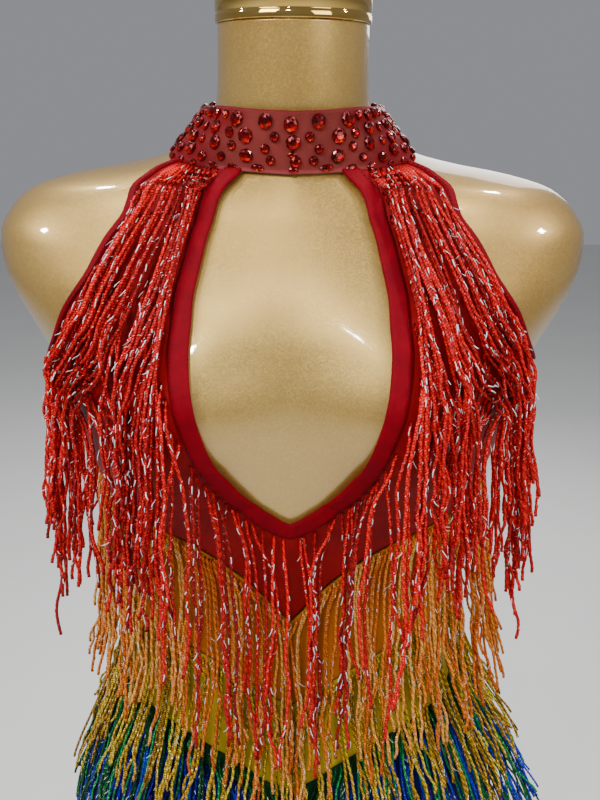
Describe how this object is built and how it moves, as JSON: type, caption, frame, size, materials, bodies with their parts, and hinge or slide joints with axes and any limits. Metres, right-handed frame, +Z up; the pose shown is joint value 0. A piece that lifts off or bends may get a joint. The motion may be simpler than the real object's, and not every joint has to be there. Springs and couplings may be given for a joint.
{
  "type": "fringe bodysuit on a dress form",
  "caption": "Halter bodysuit with a keyhole front, stone-set collar and rainbow rows of cut fringe, worn by a limbless gold dress form on a low stand.",
  "frame": {"origin": "centre of the base plate's underside, on the floor", "axes": "+Z up, the wearer's front faces -Y, the wearer's left is +X"},
  "size_m": [0.46, 0.33, 0.972],
  "materials": {
    "form_gold": "glossy pearl gold with fine sparkle",
    "cap_mirror": "mirror polished",
    "stand_steel": "satin",
    "collar_net": "sheer red net over flesh pink",
    "red_net": "fine matte net",
    "crimson_binding": "matte elastic binding",
    "rhinestone": "faceted, foil backed",
    "red_cord": "twisted fringe cord with silver lurex",
    "orange_net": "fine matte net",
    "orange_cord": "twisted fringe cord with lurex",
    "yellow_net": "fine matte net",
    "yellow_cord": "twisted fringe cord with lurex",
    "green_net": "fine matte net",
    "green_cord": "twisted fringe cord with lurex",
    "blue_net": "fine matte net",
    "blue_cord": "twisted fringe cord with lurex",
    "purple_net": "fine matte net",
    "purple_cord": "twisted fringe cord with lurex"
  },
  "bodies": {
    "root": {"form": "form_gold", "neck_cap": "cap_mirror", "rod_left": "stand_steel", "rod_right": "stand_steel", "base_plate": "stand_steel", "collar": "collar_net", "nape_hook": "stand_steel", "halter_front": "red_net", "keyhole_binding": "crimson_binding", "armhole_binding_left": "crimson_binding", "armhole_binding_right": "crimson_binding", "back_red": "red_net", "back_binding": "crimson_binding", "orange_front": "orange_net", "orange_back": "orange_net", "yellow_front": "yellow_net", "yellow_back": "yellow_net", "green_front": "green_net", "green_back": "green_net", "blue_front": "blue_net", "blue_back": "blue_net", "brief_front": "purple_net", "brief_back": "purple_net", "gusset": "purple_net", "fringe_collar_left": "red_cord", "fringe_collar_right": "red_cord", "fringe_keyhole_left": "red_cord", "fringe_keyhole_right": "red_cord", "fringe_panel_left": "red_cord", "fringe_panel_right": "red_cord", "fringe_armhole_left": "red_cord", "fringe_armhole_right": "red_cord", "fringe_red_back": "red_cord", "fringe_orange_front": "orange_cord", "fringe_orange_back": "orange_cord", "fringe_yellow_front": "yellow_cord", "fringe_yellow_back": "yellow_cord", "fringe_green_front": "green_cord", "fringe_green_back": "green_cord", "fringe_blue_front": "blue_cord", "fringe_blue_back": "blue_cord", "fringe_purple_front": "purple_cord", "fringe_purple_back": "purple_cord"}
  },
  "joints": []
}
